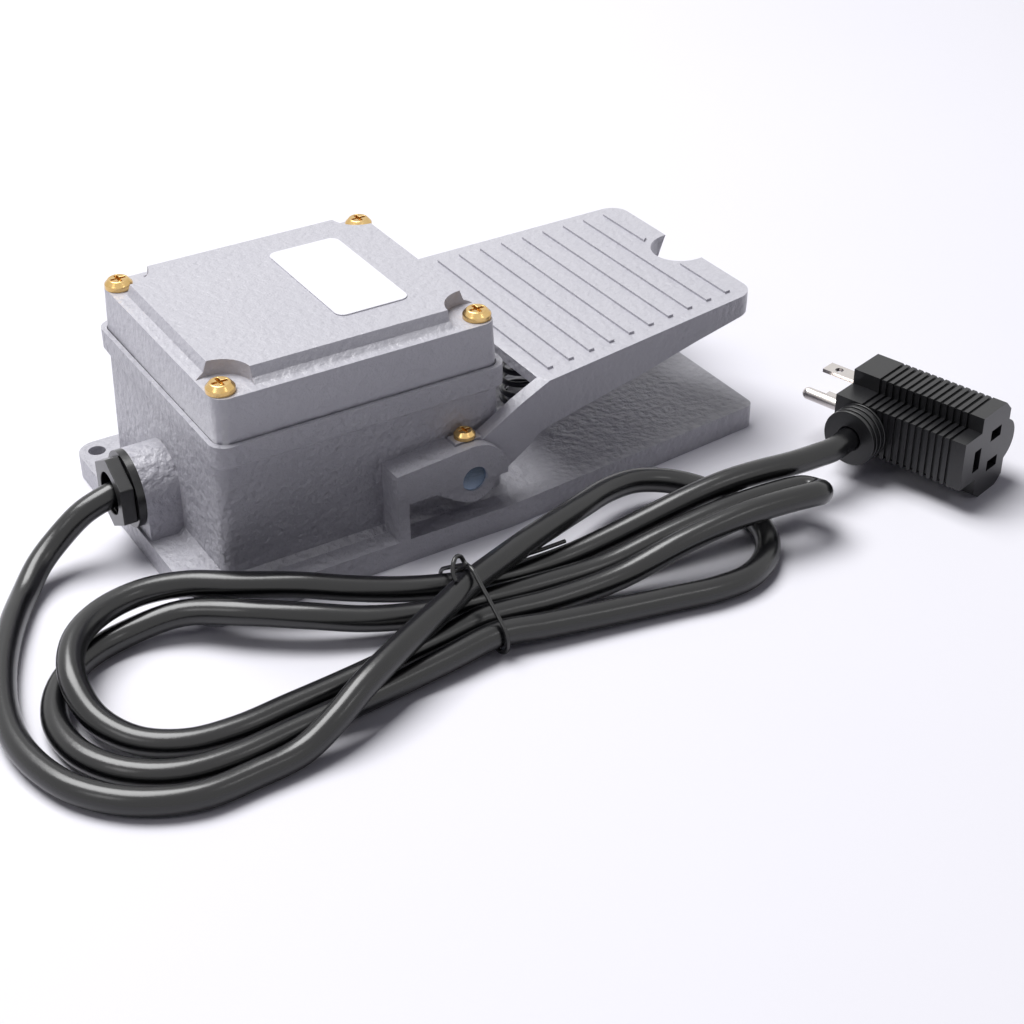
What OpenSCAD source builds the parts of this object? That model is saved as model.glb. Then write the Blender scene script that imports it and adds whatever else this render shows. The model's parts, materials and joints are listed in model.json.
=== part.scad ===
/* [Base plate] */
// Length of the base plate
plate_l = 236.5; // [236:0.5:260]
// Width of the base plate at the housing
plate_w = 121; // [120:0.5:130]
// Width of the base plate at its front edge
plate_front_w = 99.6; // [90:0.1:110]
// Thickness of the base plate
plate_t = 9.4; // [8:0.1:12]
// Length of the parallel rear part of the plate
plate_parallel_l = 119.2; // [110:0.1:130]
// Corner radius at the rear of the plate
plate_rear_r = 8; // [4:0.5:12]
// Corner radius at the front of the plate
plate_front_r = 4; // [2:0.5:10]
// Bore of the two rear mounting holes
mount_hole_d = 6.5; // [5:0.1:7]
// Distance of the mounting holes from the rear edge
mount_hole_inset = 6.9; // [6:0.1:8]
// Spacing of the mounting holes across the plate
mount_hole_spacing = 106.8; // [104:0.1:108]

/* [Housing] */
// Length of the box cover
cover_l = 106; // [105:0.5:107]
// Width of the box cover
cover_w = 100.6; // [100:0.1:101]
// Distance of the cover from the rear edge of the plate
cover_setback = 15.2; // [14.6:0.1:16]
// Wall of the cast housing
wall_t = 4; // [3.5:0.1:4.4]
// How much the foot of the housing is wider than its top on each side
wall_draft = 1.2; // [0.8:0.1:1.3]
// Corner radius of the housing
housing_r = 5; // [4:0.5:6]
// Height of the underside of the rim
rim_z = 54.3; // [54:0.1:55]
// Height of the rim's outer lip
rim_h = 7.5; // [7.3:0.1:8]
// How far the rim stands out past the cover
rim_out = 2.1; // [1.8:0.1:2.4]
// Depth of the seat that the gasket lies in
seat_depth = 1.3; // [1.2:0.1:1.6]
// Thickness of the cover gasket
gasket_t = 1; // [0.8:0.1:1]
// Wall of the cover
cover_t = 3.5; // [3:0.1:4]
// Height of the cover's side skirt
skirt_h = 16.5; // [15:0.5:18]
// Rise of the cover's raised panel
panel_h = 5.5; // [5:0.1:6]
// Distance of the raised panel from the cover's ends
panel_end_inset = 5.6; // [5.4:0.1:6]
// Distance of the raised panel from the cover's sides
panel_side_inset = 7.4; // [7:0.1:8]
// Radius of the cut-back corners of the panel
corner_cut_r = 11; // [10:0.5:12]
// Distance of the cover screws from the cover's ends
screw_end_inset = 5.3; // [5.2:0.1:5.8]
// Distance of the cover screws from the cover's sides
screw_side_inset = 6.8; // [6.7:0.1:7]
// Thread diameter of the cover screws
cover_screw_d = 5; // [4:0.5:5]
// Head diameter of the cover screws
cover_screw_head_d = 10; // [9:0.1:10]
// Length of the label plate
label_l = 27.5; // [20:0.5:30]
// Width of the label plate
label_w = 56.8; // [40:0.5:60]

/* [Pedal] */
// Height of the pivot over the floor
pivot_z = 25.2; // [25:0.1:26]
// Distance of the pivot from the rear end of the cover
pivot_setback = 89.2; // [89:0.1:89.6]
// Diameter of the pivot shaft
shaft_d = 9.8; // [9:0.1:10]
// Reach of the pedal from the pivot to the toe
pedal_l = 131.3; // [128:0.1:131.5]
// Rise of the pedal's tread at the toe over the pivot
pedal_h = 31.8; // [31:0.1:32]
// Width of the pedal at its arms
pedal_w = 112.4; // [112.2:0.1:112.6]
// Width of the pedal at its toe
pedal_toe_w = 93.4; // [80:0.5:100]
// Thickness of the pedal's arms and skirts
pedal_wall = 5.8; // [5.6:0.1:6]
// Thickness of the pedal's tread
tread_t = 5; // [4:0.1:6]
// Number of cross ribs on the tread
rib_count = 10; // [6:1:11]
// Spacing of the cross ribs
rib_pitch = 9.25; // [8:0.05:9.5]
// Radius of the notch in the toe
notch_r = 12; // [8:0.5:14]
// Outer diameter of the return spring
spring_d = 18; // [17:0.5:20]
// Wire of the return spring
spring_wire = 2.2; // [1.6:0.1:2.4]
// Full turns of the return spring
spring_turns = 8; // [6:1:9]

/* [Cord] */
// Outer diameter of the cord
cord_d = 9; // [8:0.1:9]
// Diameter of the gland's thread
gland_d = 19.8; // [18:0.1:20]

/* [Hidden] */
$fn = 64;

// Fits and overruns
overrun = 1;
running_fit = 0.08;
press_fit = 0.02;
thread_fit = 0.08;
screw_gap = 0.25;
seat_gap = 0.3;

// Gland, measured before the rest because it sets the length of the whole
gland_boss_r = 14;
gland_z = 24.4;
gland_boss_l = 14.2;
gland_flange_r = 14;
gland_flange_t = 2.8;
gland_stub_d = 18;
gland_stub_l = 3.4;
gland_bore = 15;
gland_thread_l = 22;
gland_nut_af = 23.6;
gland_nut_l = 5;
gland_nut_hole = 15.6;
gland_nut_lip = 1.4;
gland_lock_af = 24;
gland_lock_t = 4;
seal_l = 9;
seal_squeeze = 0.3;
seal_setback = 4;

// Places along the object
nut_reach = gland_boss_l + gland_flange_t + seat_gap + gland_nut_l - cover_setback;
plate_x0 = -(plate_l - nut_reach) / 2;
cover_x0 = plate_x0 + cover_setback;
cover_x1 = cover_x0 + cover_l;
cover_xm = cover_x0 + cover_l / 2;
pivot_x = cover_x0 + pivot_setback;

// Places up the housing
seat_z = rim_z + rim_h - seat_depth;
cover_z = seat_z + gasket_t;
ledge_z = cover_z + skirt_h;
panel_z = ledge_z + panel_h;

// Housing outline
housing_end_out = 0.8;
housing_side_in = 1.7;
housing_l = cover_l + 2 * housing_end_out;
housing_w = cover_w - 2 * housing_side_in;
rim_l = cover_l + 2 * rim_out;
rim_w = cover_w + 2 * rim_out;
rim_r = housing_r + rim_out / 2;
cover_gap = 0.3;
flare_h = 3;
foot_fillet = 2.4;
boss_r = 4.9;
cover_screw_y = cover_w / 2 - screw_side_inset;
cover_screw_xs = [cover_x0 + screw_end_inset, cover_x1 - screw_end_inset];
cover_screw_l = 34;
cover_screw_head_h = 3.4;
cover_screw_bore = cover_screw_d + 2 * thread_fit;

// Cover details
skirt_draft = 0.6;
groove_in = 3.3;
groove_end_in = 1;
panel_slope_share = 0.3;
column_r = 4.6;
label_t = 0.5;
label_r = 3.5;
label_front_gap = 22.5;

// Pivot bracket on each side
bracket_y = plate_w / 2;
bracket_plate_t = 3.9;
bracket_post_t = 4.3;
bracket_rear = 30.7;
bracket_floor_z = 23.9;
bracket_rear_top_z = 36.1;
bracket_r = 13.4;
bracket_tail = 16.2;
bracket_boss_r = 9.5;
bracket_boss_step = 0.8;
bracket_eye_gap = 0.4;
bracket_shoulder = 5.6;

// Pedal places, counted from the pivot
eye_r = 11;
pad_h = 13.8;
pad_rear = 5.2;
pad_front = 5.2;
arm_inner_y = pedal_w / 2 - pedal_wall;
taper_start = 18.8;
tread_start = 32.3;
toe_wall = 5.5;
toe_r = 8;
notch_x = pedal_l - 1;
notch_wall = 3.6;
rib_first = 38.8;
rib_w = 2.2;
rib_h = 0.9;
rib_inset = 6.5;
rib_notch_gap = 3.4;
tread_slope = 3.09;
spring_x = 56.8;
spring_pad_r = 10;
spring_pad_drop = 0.9;
spring_stud_r = 3.5;
spring_stud_h = 4;
spring_seat_h = 5;
lower_shares = [[0.975, 0.742], [0.775, 0.61], [0.58, 0.459], [0.391, 0.34], [0.268, 0.261],
    [0.225, 0.205], [0.195, 0.11], [0.135, -0.035], [0.05, -0.3]];
upper_shares = [[0.04, 0.384], [0.0716, 0.456], [0.107, 0.544], [0.152, 0.651], [0.2026, 0.739],
    [0.26, 0.833]];
lock_screw_d = 4;
lock_screw_head_d = 7.7;
lock_screw_head_h = 2.8;
shaft_end_gap = 1.3;
bush_r = 5.7;
bush_l = 5;
bush_flange_r = 6.4;
bush_flange_t = 1.2;

// Switch, its cam and its bracket
cam_r = 9;
cam_w = 10;
cam_top = 6;
cam_reach = 18.5;
cam_nose_h = 6;
grub_d = 4;
grub_l = 3.6;
button_back = 15;
button_x = pivot_x - button_back;
button_r = 2.5;
button_gap = 0.2;
button_z = pivot_z + cam_top + button_gap;
button_l = 13;
button_collar_r = 4;
button_collar_t = 1.6;
case_inset = 41;
case_x0 = cover_x0 + case_inset;
case_l = 49;
case_w = 18;
case_rise = 11.8;
case_z = pivot_z + case_rise;
case_h = 24;
case_t = 2;
lid_t = 2;
stand_gap = 0.2;
stand_t = 2;
stand_inset = 38;
stand_x0 = cover_x0 + stand_inset;
stand_l = 43;
stand_foot_w = 13;
stand_screw_out = 6.5;
stand_screw_y = case_w / 2 + stand_gap + stand_t + stand_screw_out;
stand_screw_inset = 8;
small_screw_d = 4;
small_head_d = 7;
small_head_h = 2.4;
small_screw_l = 8;
switch_screw_spacing = 25.4;
switch_screw_rise = 18;
switch_screw_z = case_z + switch_screw_rise;
switch_post_r = 5;
switch_screw_tail = 3;
blade_w = 6;
blade_t = 1;
blade_l = 24;
terminal_l = 9;
terminal_w = 9;
terminal_t = 1.2;
terminal_inset = 8;
terminal_pitch = 16.5;
terminal_xs = [for (i = [0:2]) case_x0 + terminal_inset + i * terminal_pitch];
terminal_h = case_z + case_h;
terminal_hole_y = 0;
terminal_screw_d = 3;
terminal_screw_l = 4;
terminal_bore_l = terminal_screw_l - terminal_t + screw_gap;
terminal_head_d = 5.6;
earth_inset = 22;
earth_x = cover_x0 + earth_inset;
earth_y = 30;
earth_boss_h = 6;
earth_boss_r = 5;
wire_d = 2.8;

// Cord routes, chosen by hand: the lead from gland to waist and the tail to the plug
lead_points = [[-88, 0, 24.4], [-100, 0, 24.4], [-116, 0, 24.4], [-123, 0, 23.2], [-132, 0, 20],
    [-142, -1, 13.5], [-151, -5, 8.5], [-160, -14, 4.7], [-168, -26, 4.6], [-175, -39, 4.6], [-181, -53, 4.6],
    [-186, -70, 4.6], [-188, -86, 4.6], [-186, -102, 4.6], [-180, -117, 4.6],
    [-168, -130, 4.6], [-151, -138, 4.6], [-132, -138, 4.6], [-116, -137, 5.8],
    [-103, -134, 10.6], [-91, -129, 14.6], [-78, -123, 16.4], [-64, -116, 16.9], [-50, -109, 16.9]];
tail_points = [[-27, -90.6, 6.2], [-17, -91.8, 5], [-7, -92.6, 4.7], [8, -93, 5],
    [24, -94, 7.6], [40, -95.8, 11.6], [55, -97.8, 15.6], [70, -99.6, 18.2], [84, -101.2, 18.8],
    [97, -102.4, 18.4], [109, -102.4, 18], [116, -102.3, 18], [127, -99.1, 18]];
lead_sides = 12;
hank_sides = 6;

// Hank, by formula: an arc at the end of each half turn and runs from the waist to it and back
waist_x = -37.5;
// Each half turn: arc centre x and y, arc radius, steps along the arc, sag of the run back
half_turns = [[46, -105, 31, 8, 0], [-138, -91, 37.2, 8, 9], [91.5, -117, 5.4, 6, 0],
    [-131, -82, 34.7, 8, 4]];
// Where each strand passes the waist, across and up
waist_points = [[-102.8, 17], [-120.2, 7], [-100.6, 7], [-110.4, 7], [-88.6, 7]];
// Places along each run from the waist to its arc
run_shares = [0.2, 0.4, 0.6, 0.8];
// Heights of each half turn at those places on the way out, round its arc and on the way back
turn_heights = [
    [17.2, 17, 16.2, 15.2, 13.8, 12, 9.4, 6.8, 5.2, 4.7, 4.7, 4.7, 4.9, 5, 5.2, 5.6, 6.2],
    [6.2, 5.4, 4.8, 4.7, 4.7, 4.7, 4.7, 4.7, 4.7, 4.7, 4.7, 5.6, 9, 11.5, 11, 8.6, 7],
    [5.6, 5.8, 11, 14.6, 14.6, 14.4, 14.4, 15, 16.4, 17.6, 18.4, 18.6, 14.6, 7.6, 5.8],
    [6.2, 5.4, 4.8, 4.7, 4.7, 4.7, 5, 7.6, 12.8, 14.6, 14.6, 14.6, 14.6, 14.4, 13.8, 11, 8.4]];

// Tie round the waist
tie_wire = 1.5;
tie_slack = 1.1;

// Plug, counted from the floor under its ground pin
plug_x = 139.4;
plug_y = -81;
plug_turn = 106;
plug_face = -2;
plug_end = -57;
bar_near = 2;
bar_far = 20;
bar_h = 34;
bar_cut = 4;
lobe_near = -9;
lobe_z0 = 10.5;
lobe_z1 = 28;
bulge_r = 8;
bulge_across = 17.5;
plug_axis_z = 18;
blade_pitch = 12.7;
prong_offset = 11.9;
prong_w = 6.35;
prong_t = 1.5;
prong_l = 17.5;
prong_hole_d = 3.2;
prong_hole_back = 5.4;
pin_d = 4.8;
pin_l = 20.6;
plug_rib_count = 13;
plug_rib_pitch = 2.85;
plug_rib_w = 1.6;
plug_rib_h = 0.9;
plug_rib_first = -16;
slot_l = 7;
slot_w = 4.4;
ground_slot_l = 9;
slot_depth = 12;
collar_back = -14;
collar_across = -18;
collar_r = 10.8;
collar_groove = 0.8;
collar_rib_pitch = 2.6;
collar_rib_lead = 0.3;
collar_ribs = 3;
collar_socket = 2;

// Functions for outlines and tubes
function arc_points(cx, cy, r, a0, a1, n) =
    [for (i = [0:n]) let (a = a0 + (a1 - a0) * i / n) [cx + r * cos(a), cy + r * sin(a)]];
function unit(v) = v / norm(v);
function tangent(p, i) = let (n = len(p) - 1)
    i == 0 ? unit(p[1] - p[0])
    : i == n ? unit(p[n] - p[n - 1])
    : unit(unit(p[i] - p[i - 1]) + unit(p[i + 1] - p[i]));
function ring(p, i, r, n, ref, turn = 0) = let (t = tangent(p, i), s = unit(cross(ref, t)), u = cross(t, s))
    [for (k = [0:n - 1]) let (a = 360 * k / n + turn) p[i] + r * (cos(a) * s + sin(a) * u)];
function route_length(p) = len(p) < 2 ? 0 : [for (i = 1, s = norm(p[1] - p[0]); i < len(p);
    i = i + 1, s = s + (i < len(p) ? norm(p[i] - p[i - 1]) : 0)) s][len(p) - 2];

// Tube of n sides along the points p, each ring square to the route
module tube(p, d, n, ref = [0, 0, 1]) {
    rings = [for (i = [0:len(p) - 1]) each ring(p, i, d / 2, n, ref)];
    last = len(p) - 1;
    sides = [for (i = [0:last - 1]) for (k = [0:n - 1]) let (a = i * n + k, b = i * n + (k + 1) % n)
        each [[a, b, a + n], [b, b + n, a + n]]];
    start_cap = [for (k = [1:n - 2]) [0, k + 1, k]];
    end_cap = [for (k = [1:n - 2]) [last * n, last * n + k, last * n + k + 1]];
    polyhedron(points = rings, faces = concat(sides, start_cap, end_cap));
}

// Solid plan with true round corners, centred on x and y
module rounded_plate(l, w, r, h) {
    linear_extrude(h) {
        square([l - 2 * r, w], center = true);
        square([l, w - 2 * r], center = true);
        for (sx = [-1, 1]) for (sy = [-1, 1])
            translate([sx * (l / 2 - r), sy * (w / 2 - r)]) circle(r, $fn = 32);
    }
}

// Side profile stood upright and widened across the object, centred on y
module across(w) {
    rotate([90, 0, 0]) linear_extrude(w, center = true) children();
}

// Round bar across the object
module cross_pin(r, l) {
    rotate([90, 0, 0]) cylinder(r = r, h = l, center = true);
}

// Pan-head screw pointing down from its seat at the origin
module pan_screw(d, l, head_d, head_h, slot_w, slot_depth) {
    translate([0, 0, -l]) cylinder(d = d, h = l + overrun / 2);
    difference() {
        union() {
            cylinder(d = head_d, h = head_h / 2);
            translate([0, 0, head_h / 2])
                cylinder(d1 = head_d, d2 = head_d * pan_top_share, h = head_h / 2, $fn = 48);
        }
        for (a = [0, 90]) rotate([0, 0, a]) translate([0, 0, head_h])
            cube([head_d * cross_share, slot_w, 2 * slot_depth], center = true);
    }
}
pan_top_share = 0.7;
cross_share = 0.55;

module at_cover_screws() {
    for (x = cover_screw_xs) for (sy = [-1, 1]) translate([x, sy * cover_screw_y, 0]) children();
}

// Base casting: plate, housing walls, rim, gland boss and pivot brackets
module base_plate() {
    x1 = plate_x0 + plate_l;
    xt = plate_x0 + plate_parallel_l;
    hw = plate_w / 2;
    hf = plate_front_w / 2;
    right = concat(
        arc_points(plate_x0 + plate_rear_r, -hw + plate_rear_r, plate_rear_r, 180, 270, 6),
        [[xt, -hw]],
        arc_points(x1 - plate_front_r, -hf + plate_front_r, plate_front_r, 275, 360, 6));
    left = [for (i = [len(right) - 1:-1:0]) [right[i][0], -right[i][1]]];
    linear_extrude(plate_t) polygon(concat(right, left));
}

module housing_walls() {
    translate([cover_xm, 0, 0]) {
        hull() {
            translate([0, 0, plate_t - overrun])
                rounded_plate(housing_l + 2 * wall_draft, housing_w + 2 * wall_draft, housing_r, overrun);
            translate([0, 0, rim_z - overrun / 2]) rounded_plate(housing_l, housing_w, housing_r, overrun);
        }
        hull() {
            translate([0, 0, plate_t - overrun])
                rounded_plate(housing_l + 2 * wall_draft + 2 * foot_fillet,
                    housing_w + 2 * wall_draft + 2 * foot_fillet, housing_r + foot_fillet, overrun);
            translate([0, 0, plate_t + foot_fillet])
                rounded_plate(housing_l + wall_draft, housing_w + wall_draft, housing_r, overrun / 10);
        }
        hull() {
            translate([0, 0, rim_z - flare_h]) rounded_plate(housing_l, housing_w, housing_r, overrun / 10);
            translate([0, 0, rim_z - overrun / 10]) rounded_plate(rim_l, rim_w, rim_r, overrun / 10);
        }
        translate([0, 0, rim_z - overrun / 10]) rounded_plate(rim_l, rim_w, rim_r, rim_h + overrun / 10);
    }
}

module bracket_profile() {
    rear = pivot_x - bracket_rear;
    polygon([[rear, bracket_floor_z], [rear, bracket_rear_top_z], [pivot_x, pivot_z + bracket_r],
        [pivot_x, bracket_floor_z]]);
}

module bracket(side) {
    wall_y = housing_w / 2 - wall_draft;
    thick_w = bracket_y - wall_y;
    plate_y = side * (bracket_y - bracket_plate_t / 2);
    // Thick rear part with the stop face and the round clearance for the pedal's eye
    difference() {
        translate([0, side * (wall_y + thick_w / 2), 0]) across(thick_w) bracket_profile();
        translate([pivot_x - bracket_shoulder, -plate_w, 0]) cube([plate_l, 2 * plate_w, panel_z]);
        translate([pivot_x, 0, pivot_z]) cross_pin(eye_r + bracket_eye_gap, 2 * plate_w);
    }
    // Outer plate with its rounded end and the lower boss
    translate([0, plate_y, 0]) across(bracket_plate_t) {
        bracket_profile();
        intersection() {
            translate([pivot_x, pivot_z]) circle(bracket_r);
            translate([pivot_x - bracket_r, bracket_floor_z]) square([2 * bracket_r, 2 * bracket_r]);
        }
    }
    boss_t = bracket_plate_t - bracket_boss_step;
    boss_a = acos(bracket_boss_r / norm([bracket_tail, pivot_z - bracket_floor_z]));
    tail_a = atan2(bracket_floor_z - pivot_z, -bracket_tail);
    translate([0, side * (bracket_y - bracket_plate_t + boss_t / 2), 0]) across(boss_t) {
        translate([pivot_x, pivot_z]) circle(bracket_boss_r);
        polygon([[pivot_x - bracket_tail, bracket_floor_z], [pivot_x, pivot_z],
            [pivot_x + bracket_boss_r * cos(tail_a + boss_a), pivot_z + bracket_boss_r * sin(tail_a + boss_a)]]);
    }
    // Post from the plate up to the thick part
    translate([pivot_x - bracket_rear, side > 0 ? wall_y : -bracket_y, plate_t - overrun])
        cube([bracket_post_t, thick_w, bracket_floor_z - plate_t + 2 * overrun]);
}

module gland_boss() {
    translate([cover_x0 - gland_boss_l, 0, 0]) rotate([90, 0, 90]) linear_extrude(gland_boss_l + wall_t) {
        translate([0, gland_z]) circle(gland_boss_r);
        translate([-gland_boss_r, plate_t - overrun]) square([2 * gland_boss_r, gland_z - plate_t + overrun]);
    }
}

module base_casting() {
    inner_l = housing_l - 2 * wall_t;
    inner_w = housing_w - 2 * wall_t;
    color("#8d8f99") difference() {
        union() {
            difference() {
                union() {
                    base_plate();
                    housing_walls();
                    gland_boss();
                    for (side = [-1, 1]) bracket(side);
                }
                translate([cover_xm, 0, plate_t])
                    rounded_plate(inner_l, inner_w, housing_r - wall_t / 2, panel_z);
            }
            intersection() {
                translate([0, 0, plate_t - overrun]) at_cover_screws()
                    cylinder(r = boss_r, h = seat_z - plate_t + overrun);
                translate([cover_xm, 0, 0]) rounded_plate(housing_l, housing_w, housing_r, seat_z);
            }
            for (x = [stand_x0 + stand_screw_inset, stand_x0 + stand_l - stand_screw_inset])
                translate([x, stand_screw_y, plate_t - overrun]) cylinder(r = small_screw_d, h = overrun);
            translate([earth_x, earth_y, plate_t - overrun])
                cylinder(r = earth_boss_r, h = earth_boss_h + overrun);
            translate([pivot_x + spring_x, 0, plate_t - overrun])
                cylinder(r = spring_seat_r, h = spring_seat_h + overrun);
        }
        // Seat for the gasket and the nesting cover
        translate([cover_xm, 0, seat_z])
            rounded_plate(cover_l + 2 * cover_gap, cover_w + 2 * cover_gap, housing_r + cover_gap, rim_h);
        // Bores
        at_cover_screws() translate([0, 0, cover_z + skirt_h - cover_screw_l - overrun])
            cylinder(d = cover_screw_bore, h = cover_screw_l);
        for (sy = [-1, 1]) translate([plate_x0 + mount_hole_inset, sy * mount_hole_spacing / 2, -overrun])
            cylinder(d = mount_hole_d, h = plate_t + 2 * overrun);
        translate([cover_x0 - gland_boss_l - overrun, 0, gland_z]) rotate([0, 90, 0])
            cylinder(d = gland_d + 2 * thread_fit, h = gland_boss_l + wall_t + 2 * overrun);
        for (side = [-1, 1]) translate([pivot_x, side * bracket_y, pivot_z])
            cross_pin(shaft_d / 2 + running_fit, 4 * bracket_plate_t);
        translate([pivot_x, 0, pivot_z]) cross_pin(bush_r + press_fit, housing_w + 4 * wall_draft);
        for (x = [stand_x0 + stand_screw_inset, stand_x0 + stand_l - stand_screw_inset])
            translate([x, stand_screw_y, plate_t + stand_t - small_screw_l - overrun / 2])
                cylinder(d = small_screw_d + 2 * thread_fit, h = small_screw_l + overrun);
        translate([earth_x, earth_y, plate_t + earth_boss_h - small_screw_l - overrun / 2])
            cylinder(d = small_screw_d + 2 * thread_fit, h = small_screw_l + overrun);
    }
}

// Box cover with the raised panel and cut-back corners
module box_cover() {
    panel_l = cover_l - 2 * panel_end_inset;
    panel_w = cover_w - 2 * panel_side_inset;
    mid_z = ledge_z + panel_h * panel_slope_share;
    foot_l = cover_l - 2 * groove_end_in;
    foot_w = cover_w - 2 * groove_in;
    mid_share = 0.7;
    color("#b3b4bd") difference() {
        union() {
            translate([cover_xm, 0, 0]) {
                hull() {
                    translate([0, 0, cover_z]) rounded_plate(cover_l, cover_w, housing_r, overrun / 10);
                    translate([0, 0, ledge_z - overrun / 10])
                        rounded_plate(cover_l - 2 * skirt_draft, cover_w - 2 * skirt_draft, housing_r,
                            overrun / 10);
                }
                difference() {
                    union() {
                        hull() {
                            translate([0, 0, ledge_z - overrun])
                                rounded_plate(foot_l, foot_w, housing_r, overrun);
                            translate([0, 0, mid_z]) rounded_plate(foot_l + (panel_l - foot_l) * mid_share,
                                foot_w + (panel_w - foot_w) * mid_share, housing_r, overrun / 10);
                        }
                        hull() {
                            translate([0, 0, mid_z]) rounded_plate(foot_l + (panel_l - foot_l) * mid_share,
                                foot_w + (panel_w - foot_w) * mid_share, housing_r, overrun / 10);
                            translate([0, 0, panel_z - overrun / 10])
                                rounded_plate(panel_l, panel_w, housing_r / 2, overrun / 10);
                        }
                    }
                    translate([-cover_xm, 0, ledge_z]) at_cover_screws()
                        cylinder(r = corner_cut_r, h = panel_h + overrun);
                }
            }
        }
        // Inner hollow, deeper under the panel
        difference() {
            union() {
                translate([cover_xm, 0, cover_z - overrun])
                    rounded_plate(cover_l - 2 * cover_t, cover_w - 2 * cover_t, housing_r / 2,
                        skirt_h - cover_t + overrun);
                difference() {
                    translate([cover_xm, 0, cover_z])
                        rounded_plate(panel_l - 2 * cover_t, panel_w - 2 * cover_t, housing_r / 2,
                            skirt_h + panel_h - cover_t);
                    translate([0, 0, cover_z]) at_cover_screws()
                        cylinder(r = corner_cut_r + cover_t, h = skirt_h + panel_h);
                }
            }
            translate([0, 0, cover_z]) at_cover_screws() cylinder(r = column_r, h = skirt_h);
        }
        at_cover_screws() translate([0, 0, cover_z - overrun])
            cylinder(d = cover_screw_d + 2 * screw_gap, h = skirt_h + panel_h + 2 * overrun);
    }
}

module cover_gasket() {
    ring_w = wall_t - overrun;
    color("#1c1c1e") difference() {
        translate([cover_xm, 0, seat_z]) rounded_plate(cover_l, cover_w, housing_r, gasket_t);
        difference() {
            translate([cover_xm, 0, seat_z - overrun]) rounded_plate(housing_l - 2 * wall_t, housing_w - 2 * wall_t,
                housing_r / 2, gasket_t + 2 * overrun);
            translate([0, 0, seat_z - overrun]) at_cover_screws()
                cylinder(r = column_r, h = gasket_t + 2 * overrun);
        }
        translate([0, 0, seat_z - overrun]) at_cover_screws()
            cylinder(d = cover_screw_d + 2 * screw_gap, h = gasket_t + 2 * overrun);
    }
}

module cover_screws() {
    color("#c9a24a") translate([0, 0, ledge_z]) at_cover_screws()
        pan_screw(cover_screw_d, cover_screw_l - overrun, cover_screw_head_d, cover_screw_head_h,
            cover_screw_d / 4, cover_screw_head_h / 2);
}

module label_plate() {
    color("#f4f3f6") translate([cover_x1 - label_front_gap - label_l / 2, 0, panel_z])
        rounded_plate(label_l, label_w, label_r, label_t);
}

// Pedal: plan outline and side profile crossed, hollow below, notch in the toe
function half_width(x) = x < taper_start ? pedal_w / 2
    : pedal_w / 2 + (pedal_toe_w - pedal_w) / 2 * (x - taper_start) / (pedal_l - taper_start);

module pedal_plan(inset) {
    x1 = pedal_l - (inset > 0 ? toe_wall : 0);
    hw = pedal_w / 2 - inset;
    ht = pedal_toe_w / 2 - inset;
    r = inset > 0 ? toe_r / 2 : toe_r;
    right = concat([[-eye_r - pad_h, -hw], [taper_start, -hw]],
        arc_points(x1 - r, -ht + r, r, 276, 360, 8));
    left = [for (i = [len(right) - 1:-1:0]) [right[i][0], -right[i][1]]];
    polygon(concat(right, left));
}

function share_points(s) = [for (q = s) [q[0] * pedal_l, q[1] * pedal_h]];

module pedal_profile() {
    translate([pivot_x, pivot_z]) {
        polygon(concat([[0, 0], [0, pad_h * upper_shares[0][1]]], share_points(upper_shares), [[pedal_l, pedal_h]],
            share_points(lower_shares)));
        circle(eye_r);
        translate([-pad_rear, 0]) square([pad_rear + pad_front, pad_h]);
    }
}

module pedal_solid() {
    intersection() {
        translate([pivot_x, 0, 0]) linear_extrude(panel_z) pedal_plan(0);
        across(pedal_w) pedal_profile();
    }
}

module tread_rib(x) {
    hw = half_width(x) - rib_inset;
    z = pedal_h - (pedal_l - x) * tan(tread_slope);
    translate([pivot_x + x, 0, pivot_z + z]) rotate([0, -tread_slope, 0])
        translate([-rib_w / 2, -hw, -rib_h]) cube([rib_w, 2 * hw, 2 * rib_h]);
}

module pedal() {
    under_toe = pedal_h - tread_t - (toe_wall) * tan(tread_slope);
    under_start = pedal_h - tread_t - (pedal_l - tread_start) * tan(tread_slope);
    color("#9899a4") difference() {
        union() {
            difference() {
                pedal_solid();
                intersection() {
                    translate([pivot_x, 0, -overrun]) linear_extrude(panel_z) pedal_plan(pedal_wall);
                    translate([pivot_x, 0, pivot_z]) across(pedal_w) polygon([
                        [-plate_w, -pivot_z], [pedal_l, -pivot_z],
                        [pedal_l, under_toe], [tread_start, under_start], [tread_start, panel_z], [-plate_w, panel_z]]);
                }
            }
            intersection() {
                pedal_solid();
                translate([pivot_x + notch_x, 0, 0]) cylinder(r = notch_r + notch_wall, h = panel_z);
            }
            difference() {
                for (i = [0:rib_count - 1]) tread_rib(rib_first + i * rib_pitch);
                translate([pivot_x + notch_x, 0, 0]) cylinder(r = notch_r + rib_notch_gap, h = panel_z);
            }
            translate([pivot_x + spring_x, 0, pivot_z + under_start + (spring_x - tread_start) * tan(tread_slope)
                - spring_pad_drop]) {
                cylinder(r = spring_pad_r, h = tread_t / 2);
                translate([0, 0, -spring_stud_h]) cylinder(r = spring_stud_r, h = spring_stud_h + overrun);
            }
        }
        translate([pivot_x + notch_x, 0, -overrun]) cylinder(r = notch_r, h = panel_z);
        translate([pivot_x, 0, pivot_z]) cross_pin(shaft_d / 2 + press_fit, 2 * pedal_w);
        for (side = [-1, 1]) translate([pivot_x, side * (arm_inner_y + pedal_wall / 2), pivot_z])
            cylinder(d = lock_screw_d + 2 * thread_fit, h = 2 * pad_h);
    }
}

module pivot_shaft() {
    color("#b9c3cf") translate([pivot_x, 0, pivot_z]) cross_pin(shaft_d / 2, plate_w - 2 * shaft_end_gap);
}

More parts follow.
